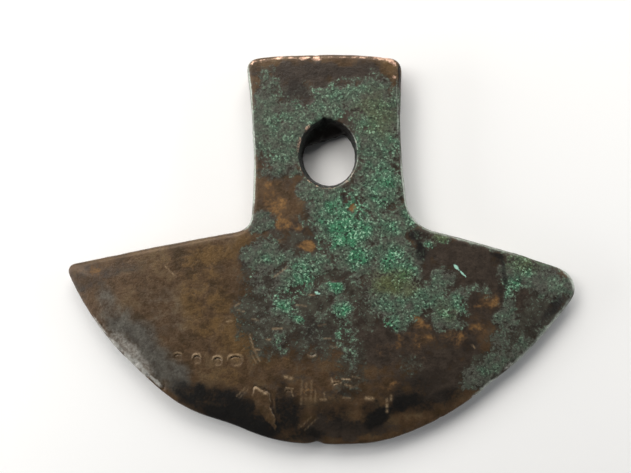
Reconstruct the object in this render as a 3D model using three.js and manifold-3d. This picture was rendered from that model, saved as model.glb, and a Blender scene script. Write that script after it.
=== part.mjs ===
// A crescent axe head, cast flat in copper alloy and hammered thin at the edge. A waisted tang,
// pierced by a tapered oval hole for the lashing, spreads at the neck into a broad crescent blade.
// The head lies on its flat back with the tang along +Y and its front face up. Lengths are in
// millimetres, and plan places are measured from the centre that the cutting edge is struck from.

import * as THREE from 'three';
import * as BufferGeometryUtils from 'three/addons/utils/BufferGeometryUtils.js';
import Module from 'manifold-3d';

const wasm = await Module();
wasm.setup();

// Cutting edge, an arc struck from a centre in the foot of the tang
const edgeRadius = 80.3;
const leftTipAngle = THREE.MathUtils.degToRad(70.2); // both tips are turned from straight down
const rightTipAngle = THREE.MathUtils.degToRad(68.4);
const leftTipSoftness = 2.4; // how far back from its corner a rounded corner starts
const rightTipSoftness = 8;

// Blade, tapered from both faces to a blunt lip
const lipThickness = 1.2;
const lipHeight = 4; // the lip's middle, above the flat back
const bevelWidth = 16;
const bevelRise = 3.4; // what the bevel adds to half the lip's thickness over its width
const bevelRoundness = 0.7; // below 1 the bevel swells, steepest at the lip

// Tang
const tangThickness = 9;
const buttWidth = 46.2;
const buttHeight = 33; // the butt's corners, above the arc's centre
const buttCrown = 1.5;
const buttLean = 0.7; // the tang's middle stands this far to the right at the butt
const buttLeftSoftness = 3.2;
const buttRightSoftness = 3.6;
const tangWaist = 1.6; // how far each side draws in between butt and neck

// Neck and shoulders
const neckWidth = 46.6;
const neckDepth = 17; // the neck's left corner, below the arc's centre
const neckRise = 1.2; // how much higher the right corner stands
const neckLean = 2.5;
const neckLeftSoftness = 4.4;
const neckRightSoftness = 7.4;
const leftShoulderSwell = 0.1; // how far each shoulder bows outwards
const rightShoulderSwell = 0.6;
const faceFall = 1.1; // how much lower the front face is at the lip than at the neck
const edgeRounding = 1.3;

// Lashing hole, wider at the front face than at the back
const holeCentre = new THREE.Vector2(1.8, 5.2);
const holeDrift = new THREE.Vector2(0.4, -0.2); // the back mouth's centre from the front mouth's
const holeFrontWidth = 17.2;
const holeFrontLength = 20;
const holeBackWidth = 15.6;
const holeBackLength = 16.8;
const holeRim = 0.5; // the worn chamfer round each mouth

// Sloping ledge at the top of the hole, as distances from the back mouth's centre
const ledgeTurn = THREE.MathUtils.degToRad(107.6); // the way it lies from there, from +X
const ledgeFront = 11.5;
const ledgeBack = 5.3;

// Fineness of the facets
const facetLength = 2.6;
const cornerFacets = 6;
const roundingFacets = 3;
const bevelFacets = 8;
const latheFacets = 144;
const holeFacets = 48;
const cornerReach = 0.4; // a corner curve's handles, as a share of the gap that it turns
const bevelCrowding = 1.5; // above 1 the bevel's facets crowd towards the lip
const cutterOverrun = 6; // how far a cutter reaches past what it cuts
const mergeDistance = 1e-4;

// Where hammering left the cutting edge flat (below zero) or full (above), by angle from straight down
const edgeHammering = [
  { angle: -68, spread: 9, height: 0.8 },
  { angle: -43, spread: 7, height: -0.35 },
  { angle: -33, spread: 4, height: 0.2 },
  { angle: -20, spread: 6.5, height: -1.2 },
  { angle: -1.5, spread: 1.3, height: -0.5 },
  { angle: 14, spread: 8, height: 0.9 },
  { angle: 39, spread: 7, height: -0.7 },
  { angle: 70, spread: 12, height: 3.4 },
];

// How far hammering moved the edge out at an angle from straight down, positive to the right.
function hammering(angle) {
  const degrees = THREE.MathUtils.radToDeg(angle);
  let height = 0;
  for (const mark of edgeHammering) {
    height += mark.height * Math.exp(-(((degrees - mark.angle) / mark.spread) ** 2));
  }
  return height;
}

function edgePoint(angle) {
  const radius = edgeRadius + hammering(angle);
  return new THREE.Vector2(radius * Math.sin(angle), -radius * Math.cos(angle));
}

// A side of the outline between two corners that bows to its right by the given height.
function bowedSide(from, to, bow) {
  const along = to.clone().sub(from);
  const right = new THREE.Vector2(along.y, -along.x).normalize();
  const control = from.clone().add(to).multiplyScalar(0.5).addScaledVector(right, 2 * bow);
  return new THREE.QuadraticBezierCurve(from, control, to);
}

function cuttingEdge() {
  const steps = Math.round((leftTipAngle + rightTipAngle) * edgeRadius / facetLength);
  const points = [];
  for (let i = 0; i <= steps; i++) {
    points.push(edgePoint(-leftTipAngle + (leftTipAngle + rightTipAngle) * i / steps));
  }
  return new THREE.SplineCurve(points);
}

// The closed outline, counterclockwise from the left tip. Each side stops short of its corners by
// their softness, and a Bezier curve tangent to both sides turns the corner.
function outline() {
  const leftTip = edgePoint(-leftTipAngle);
  const rightTip = edgePoint(rightTipAngle);
  const rightNeck = new THREE.Vector2(neckLean + neckWidth / 2, neckRise - neckDepth);
  const leftNeck = new THREE.Vector2(neckLean - neckWidth / 2, -neckDepth);
  const rightButt = new THREE.Vector2(buttLean + buttWidth / 2, buttHeight);
  const leftButt = new THREE.Vector2(buttLean - buttWidth / 2, buttHeight);
  const sides = [
    { curve: cuttingEdge(), softness: rightTipSoftness },
    { curve: bowedSide(rightTip, rightNeck, rightShoulderSwell), softness: neckRightSoftness },
    { curve: bowedSide(rightNeck, rightButt, -tangWaist), softness: buttRightSoftness },
    { curve: bowedSide(rightButt, leftButt, buttCrown), softness: buttLeftSoftness },
    { curve: bowedSide(leftButt, leftNeck, -tangWaist), softness: neckLeftSoftness },
    { curve: bowedSide(leftNeck, leftTip, leftShoulderSwell), softness: leftTipSoftness },
  ];
  const points = [];
  sides.forEach((side, i) => {
    const before = sides[(i + sides.length - 1) % sides.length];
    const after = sides[(i + 1) % sides.length];
    const length = side.curve.getLength();
    const start = before.softness / length;
    const end = 1 - side.softness / length;
    const steps = Math.max(2, Math.round((end - start) * length / facetLength));
    for (let k = 0; k <= steps; k++) {
      points.push(side.curve.getPointAt(start + (end - start) * k / steps));
    }
    const leave = side.curve.getPointAt(end);
    const join = after.curve.getPointAt(side.softness / after.curve.getLength());
    const reach = cornerReach * leave.distanceTo(join);
    const turn = new THREE.CubicBezierCurve(
      leave,
      leave.clone().addScaledVector(side.curve.getTangentAt(end), reach),
      join.clone().addScaledVector(
        after.curve.getTangentAt(side.softness / after.curve.getLength()), -reach),
      join,
    );
    points.push(...turn.getPoints(cornerFacets).slice(1, -1));
  });
  return new THREE.Shape(points);
}

// Turns a closed geometry into a solid that can be cut.
function solid(geometry) {
  const bare = geometry.index ? geometry.toNonIndexed() : geometry.clone();
  for (const name of Object.keys(bare.attributes)) {
    if (name !== 'position') bare.deleteAttribute(name);
  }
  const merged = BufferGeometryUtils.mergeVertices(bare, mergeDistance);
  return new wasm.Manifold(new wasm.Mesh({
    numProp: 3,
    vertProperties: new Float32Array(merged.attributes.position.array),
    triVerts: new Uint32Array(merged.index.array),
  }));
}

function geometryOf(manifold) {
  const mesh = manifold.getMesh();
  const geometry = new THREE.BufferGeometry();
  geometry.setAttribute('position', new THREE.BufferAttribute(mesh.vertProperties, 3));
  geometry.setIndex(new THREE.BufferAttribute(mesh.triVerts, 1));
  return geometry;
}

// The plate as it came from the mould, with its edges rounded over.
function castPlate() {
  const geometry = new THREE.ExtrudeGeometry(outline(), {
    depth: tangThickness - 2 * edgeRounding,
    bevelThickness: edgeRounding,
    bevelSize: edgeRounding,
    bevelOffset: -edgeRounding,
    bevelSegments: roundingFacets,
  });
  geometry.translate(0, 0, edgeRounding);
  return solid(geometry);
}

// Half the blade's thickness at a distance in from the lip.
function halfThickness(inset) {
  return lipThickness / 2 + bevelRise * (Math.max(inset, 0) / bevelWidth) ** bevelRoundness;
}

// A ring over one face, whose inner surface is the bevel, drawn in and out with the hammered edge.
// The facing is 1 above and -1 below.
function bevelCutter(facing) {
  const clear = tangThickness + cutterOverrun;
  const profile = [new THREE.Vector2(edgeRadius + cutterOverrun, clear)];
  profile.push(new THREE.Vector2(edgeRadius + cutterOverrun, halfThickness(0)));
  for (let i = 0; i <= bevelFacets; i++) {
    const inset = (bevelWidth + cutterOverrun) * (i / bevelFacets) ** bevelCrowding;
    profile.push(new THREE.Vector2(edgeRadius - inset, halfThickness(inset)));
  }
  profile.push(new THREE.Vector2(edgeRadius - bevelWidth - cutterOverrun, clear));
  profile.push(profile[0].clone());
  profile.reverse();
  for (const point of profile) point.y *= facing;
  if (facing < 0) profile.reverse();
  const ring = new THREE.LatheGeometry(profile, latheFacets);
  ring.rotateX(Math.PI / 2);
  ring.translate(0, 0, lipHeight);
  const position = ring.attributes.position;
  for (let i = 0; i < position.count; i++) {
    const point = new THREE.Vector2(position.getX(i), position.getY(i));
    point.setLength(point.length() + hammering(Math.atan2(point.x, -point.y)));
    position.setXY(i, point.x, point.y);
  }
  return solid(ring);
}

// A slab over the blade that lets its front face fall from the neck to the lip.
function faceCutter() {
  const reach = edgeRadius - neckDepth;
  const span = 2 * (edgeRadius + cutterOverrun);
  const slab = new THREE.BoxGeometry(span, 2 * reach, 2 * tangThickness);
  slab.translate(0, -reach, tangThickness);
  slab.rotateX(Math.atan(faceFall / reach));
  slab.translate(0, -neckDepth, tangThickness);
  return solid(slab);
}

// What the core lacks above the ledge: a block whose lower side slopes from the back to the front.
function ledgeBlock() {
  const size = 2 * holeFrontLength;
  const block = new THREE.BoxGeometry(size, size, 2 * size);
  block.translate(size / 2, 0, 0);
  block.rotateY(Math.atan((ledgeFront - ledgeBack) / tangThickness));
  block.translate(ledgeBack, 0, 0);
  block.rotateZ(ledgeTurn);
  block.translate(holeCentre.x + holeDrift.x, holeCentre.y + holeDrift.y, 0);
  return solid(block);
}

// The tapered oval core that left the lashing hole, flared at both mouths.
function holeCore() {
  const back = { width: holeBackWidth, length: holeBackLength, drift: 1 };
  const front = { width: holeFrontWidth, length: holeFrontLength, drift: 0 };
  const stations = [
    { ...back, height: -holeRim, flare: 2 * holeRim },
    { ...back, height: holeRim, flare: 0 },
    { ...front, height: tangThickness - holeRim, flare: 0 },
    { ...front, height: tangThickness + holeRim, flare: 2 * holeRim },
  ];
  const core = new THREE.CylinderGeometry(1, 1, stations.length - 1, holeFacets, stations.length - 1);
  core.rotateX(Math.PI / 2);
  core.translate(0, 0, (stations.length - 1) / 2);
  const position = core.attributes.position;
  for (let i = 0; i < position.count; i++) {
    const at = stations[Math.round(position.getZ(i))];
    position.setXYZ(
      i,
      holeCentre.x + at.drift * holeDrift.x + position.getX(i) * (at.width / 2 + at.flare),
      holeCentre.y + at.drift * holeDrift.y + position.getY(i) * (at.length / 2 + at.flare),
      at.height,
    );
  }
  return solid(core).subtract(ledgeBlock());
}

const forged = castPlate()
  .subtract(faceCutter())
  .subtract(bevelCutter(1))
  .subtract(bevelCutter(-1))
  .subtract(holeCore());

const patinatedCopper = new THREE.MeshStandardMaterial({
  color: 0x3f3a30,
  roughness: 0.5,
  metalness: 0.6,
});

// The origin is on the back face, under the middle of the head's own width and length.
const axeHead = new THREE.Mesh(geometryOf(forged), patinatedCopper);
axeHead.name = 'axe_head';
axeHead.geometry.computeBoundingBox();
const middle = axeHead.geometry.boundingBox.getCenter(new THREE.Vector3());
axeHead.position.set(-middle.x, -middle.y, 0);

const group = new THREE.Group();
group.add(axeHead);

export default group;
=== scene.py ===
# A crescent axe head: bronze cast flat, hammered thin at the edge, and patinated in the ground.
# It lies on its back on a pale floor, seen from above. Shapes are worked out in millimetres on the
# imported part's own frame, and marks, patina and painted light and shade are placed by pixels of
# the reference photograph.

import math

import bmesh
import bpy
import numpy as np
from mathutils import Matrix, Vector
from mathutils.geometry import delaunay_2d_cdt


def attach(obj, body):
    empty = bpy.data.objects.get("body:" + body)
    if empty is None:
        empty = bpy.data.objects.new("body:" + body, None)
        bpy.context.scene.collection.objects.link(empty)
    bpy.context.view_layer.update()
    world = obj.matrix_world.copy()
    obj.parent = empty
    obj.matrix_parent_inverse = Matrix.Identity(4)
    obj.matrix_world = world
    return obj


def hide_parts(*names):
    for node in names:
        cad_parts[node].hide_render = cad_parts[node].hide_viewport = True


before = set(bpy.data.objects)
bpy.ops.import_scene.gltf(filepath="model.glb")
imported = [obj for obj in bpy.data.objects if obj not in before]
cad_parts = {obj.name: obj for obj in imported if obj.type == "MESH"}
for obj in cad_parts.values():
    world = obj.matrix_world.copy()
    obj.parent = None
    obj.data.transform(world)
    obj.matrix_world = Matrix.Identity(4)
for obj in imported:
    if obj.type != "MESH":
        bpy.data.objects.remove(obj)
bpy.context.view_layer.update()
print("frame loaded:", sorted(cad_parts))

# The camera stands where the photograph's did. Places in millimetres.
camera = {
    "lens": 50.0,
    "sensor": 36.0,
    "eye": (3.25, -2.05, 264.5),
    "aim": (-1.3, 3.95, 8.5),  # the middle of the photograph on the front face
    "photoSize": (631, 473),
}

# The casting, in millimetres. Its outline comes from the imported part.
axeHead = {
    "arcCentre": (0.469, 22.927),  # the centre that the cutting edge is struck from
    "tangThickness": 9.0,
    "neckDepth": 17.0,
    "faceFall": 1.1,
    "edgeReach": 80.3,
    "cuttingReach": 77.5,  # the outline's points past this are on the cutting edge
    "lipThickness": 1.2,
    "lipHeight": 4.0,
    "bevelWidth": 16.0,
    "bevelRise": 3.4,
    "bevelRoundness": 0.7,
    "creaseSoftness": 1.8,
    "edgeRounding": 1.25,
    "edgeRoundingShare": 0.42,  # of the thickness, where the blade is thin
    "edgeTurns": (0, 14, 30, 48, 68, 90),  # degrees round the edge from the wall to the face
    "outlineCount": 960,
    "outlineSoftness": 0.6,
    "wallRows": 6,
    "wallBulge": 0.25,
    "frontSpacing": 0.43,
    "markSpacing": 0.22,
    "backSpacing": 0.9,
}

# The lashing hole, in millimetres from the arc's centre
lashingHole = {
    "frontCentre": (1.8, 5.2),
    "backCentre": (2.2, 5.0),
    "frontHalf": (8.6, 10.0),
    "backHalf": (7.8, 8.4),
    "rimRounding": 0.5,
    "ledgeTurn": 107.6,  # the way the ledge at the top faces, in degrees from +X
    "ledgeFront": 11.5,  # its distance from the middle at the front mouth and at the back
    "ledgeBack": 5.3,
    "ledgeSoftness": 0.8,
    "reach": 13.0,  # the section's points nearer the middle than this are the hole's
    "count": 160,
    "rows": 20,
    "roundingRows": 5,
    "wallPerDegree": 0.16,  # the wall's length for one degree
    "notchDepth": 0.8,
    # notches in the front mouth: degrees, half width in degrees, share of the depth
    "notches": [(97, 7, 1), (84, 5, 0.6)],
    # where the front mouth is worn, and where painted highlights lie on its lit rim: kind, degrees
    # where it starts, is full, fades and ends, strength
    "wornAndLitArcs": [
        ("paleEdge", -80, -65, 60, 72, 0.55),
        ("paleEdge", 122, 128, 150, 158, 0.45),
        ("rose", -160, -150, -90, -70, 0.45),
    ],
}

# Small marks, by pixel of the photograph; sizes in pixels, depths in millimetres
marks = {
    # half-round punch marks: centre, half width, half height, how far round they reach, depth
    "punches": [
        (178, 357.5, 4.4, 4, 50, 0.17), (197, 359.6, 4.3, 4.6, 80, 0.3),
        (217.8, 361.6, 4.7, 4.6, 85, 0.3), (235.8, 361, 7.2, 5.4, 80, 0.3),
        (288.5, 393, 3.6, 3.6, 60, 0.14), (336.5, 387.5, 5.2, 5.2, 55, 0.16),
        (312, 352, 4.4, 4.4, -60, 0.16), (222, 329, 3.2, 3.2, 60, 0.08),
        (229, 322.5, 4.5, 4.5, 40, 0.1),
    ],
    # a flake lapped over by the hammer: its outline, from its free top edge round
    "flake": [
        (253.5, 390), (257, 388.3), (260, 388.7), (263, 390), (266, 392.5), (269, 394),
        (270.5, 397), (271, 401), (271.3, 405.5), (271.8, 410), (273, 415), (274.2, 420),
        (275.5, 425), (277.3, 430), (274, 429), (269, 423.5), (264, 418.5), (259.5, 413),
        (256, 407), (253.5, 401), (252.3, 395),
    ],
    "flakeHeight": 0.26,
    "scratchDepth": 0.05,
    # scratches: from, to, half width, brightness
    "scratches": [
        (249.5, 334, 254, 350, 0.5, 0.8), (252.5, 347, 260, 361, 0.5, 0.8),
        (251, 352, 256, 363, 0.4, 0.5), (254, 349, 259.5, 349.6, 0.6, 0.8),
        (164.6, 265.5, 175.6, 276.6, 0.4, 0.6), (236.5, 396.5, 245, 387.5, 0.5, 0.4),
        (239, 398, 247.5, 390, 0.4, 0.3), (284.8, 376.4, 291.4, 378.2, 1, 1),
        (286, 387.5, 293, 388.6, 0.5, 0.6), (291, 389, 293, 396, 0.5, 0.5),
        (302, 381, 301, 404, 0.9, 0.26), (306.8, 383, 305.4, 399, 0.9, 0.22),
        (311.5, 381, 310.5, 400, 0.8, 0.28), (315.5, 391, 315, 402, 0.6, 0.4),
        (320.5, 399.5, 326, 399.8, 0.6, 0.8), (324, 392, 325, 400, 0.4, 0.5),
        (331, 378.5, 334, 384.5, 0.6, 0.8), (334, 384.5, 341, 382.5, 0.5, 0.7),
        (342, 378.8, 350, 379.5, 0.6, 0.9), (345, 384.5, 351, 386, 0.7, 0.7),
        (350, 388, 359, 384.5, 0.4, 0.4), (352, 376.8, 360, 377.6, 0.4, 0.6),
        (343.5, 397.6, 350, 398.4, 0.6, 0.6), (366.4, 397.9, 372.2, 398.3, 1.2, 1),
        (386.8, 399, 386.8, 401.5, 0.8, 0.7), (386.9, 404.8, 386.9, 406.6, 0.9, 0.8),
        (387, 410.2, 387, 411.8, 0.8, 0.6), (391, 395.5, 391, 400, 0.8, 0.6),
        (301, 427, 311, 417, 0.4, 0.3), (305, 430, 317.5, 418, 0.4, 0.28),
        (272.5, 328.8, 282, 328.4, 0.6, 0.8), (267, 339.6, 270, 339.6, 0.7, 0.8),
        (309, 295, 315, 294.6, 0.6, 0.7), (296, 305, 306, 306, 0.5, 0.5),
        (274, 277, 287, 267, 0.5, 0.6), (235, 306, 240, 303, 0.5, 0.6),
        (226, 321.5, 232.5, 320.5, 0.5, 0.8), (236, 309.5, 244, 311.5, 0.4, 0.5),
        (318, 325.5, 326, 324.5, 0.4, 0.4), (324, 338.5, 331, 338.6, 0.6, 0.4),
        (330, 346.5, 337, 347, 0.5, 0.4), (472, 345, 475, 348, 0.5, 0.6),
        (252, 319, 258, 320, 0.6, 0.4),
    ],
    # pale splinters of mineral: from, to, half width
    "flecks": [
        (454.8, 265.5, 459, 270, 1.5), (460.2, 271.2, 466, 276.8, 0.8),
        (316, 292.5, 319, 293.6, 1.1),
    ],
    # corrosion pits: centre, radius, depth
    "pits": [
        (370.5, 129.5, 3, 0.22), (369.5, 168.5, 4, 0.25), (345, 195.5, 4.5, 0.25),
        (352.5, 207, 6, 0.4), (242.5, 348.3, 1.2, 0.2), (173, 271.3, 1.1, 0.15),
        (208, 284, 1.2, 0.15), (84.5, 292.5, 1.3, 0.12), (194, 293.5, 1.4, 0.1),
        (163.5, 386.5, 1.6, 0.25), (340, 437, 3, 0.15), (395, 250, 3.5, 0.2), (362, 276, 6, 0.18),
        (420, 300, 4, 0.15), (498, 262, 5, 0.15), (435, 257, 3, 0.12), (469, 334, 2.2, 0.22),
        (510.5, 361.5, 1.6, 0.22), (396.5, 76.5, 1.4, 0.2),
    ],
    # knocks and nicks in the edges, which also bite into the outline
    "nicks": [
        (316.3, 57.5, 3, 0.55), (283, 59, 2.5, 0.2), (296, 58, 2, 0.2), (384, 58.5, 2.5, 0.18),
        (148, 375.5, 1.6, 0.45), (163.5, 388.5, 1.5, 0.35), (135, 364, 1.8, 0.25),
        (121, 350, 1.4, 0.2), (318, 443.5, 4.5, 0.6), (474, 396.5, 2, 0.4), (486, 388, 2, 0.35),
        (492, 381, 2.4, 0.3), (512.5, 362.5, 1.6, 0.3), (541, 335, 1.5, 0.2),
        (440, 417, 2.2, 0.25), (102, 325, 1.5, 0.2),
    ],
}
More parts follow.
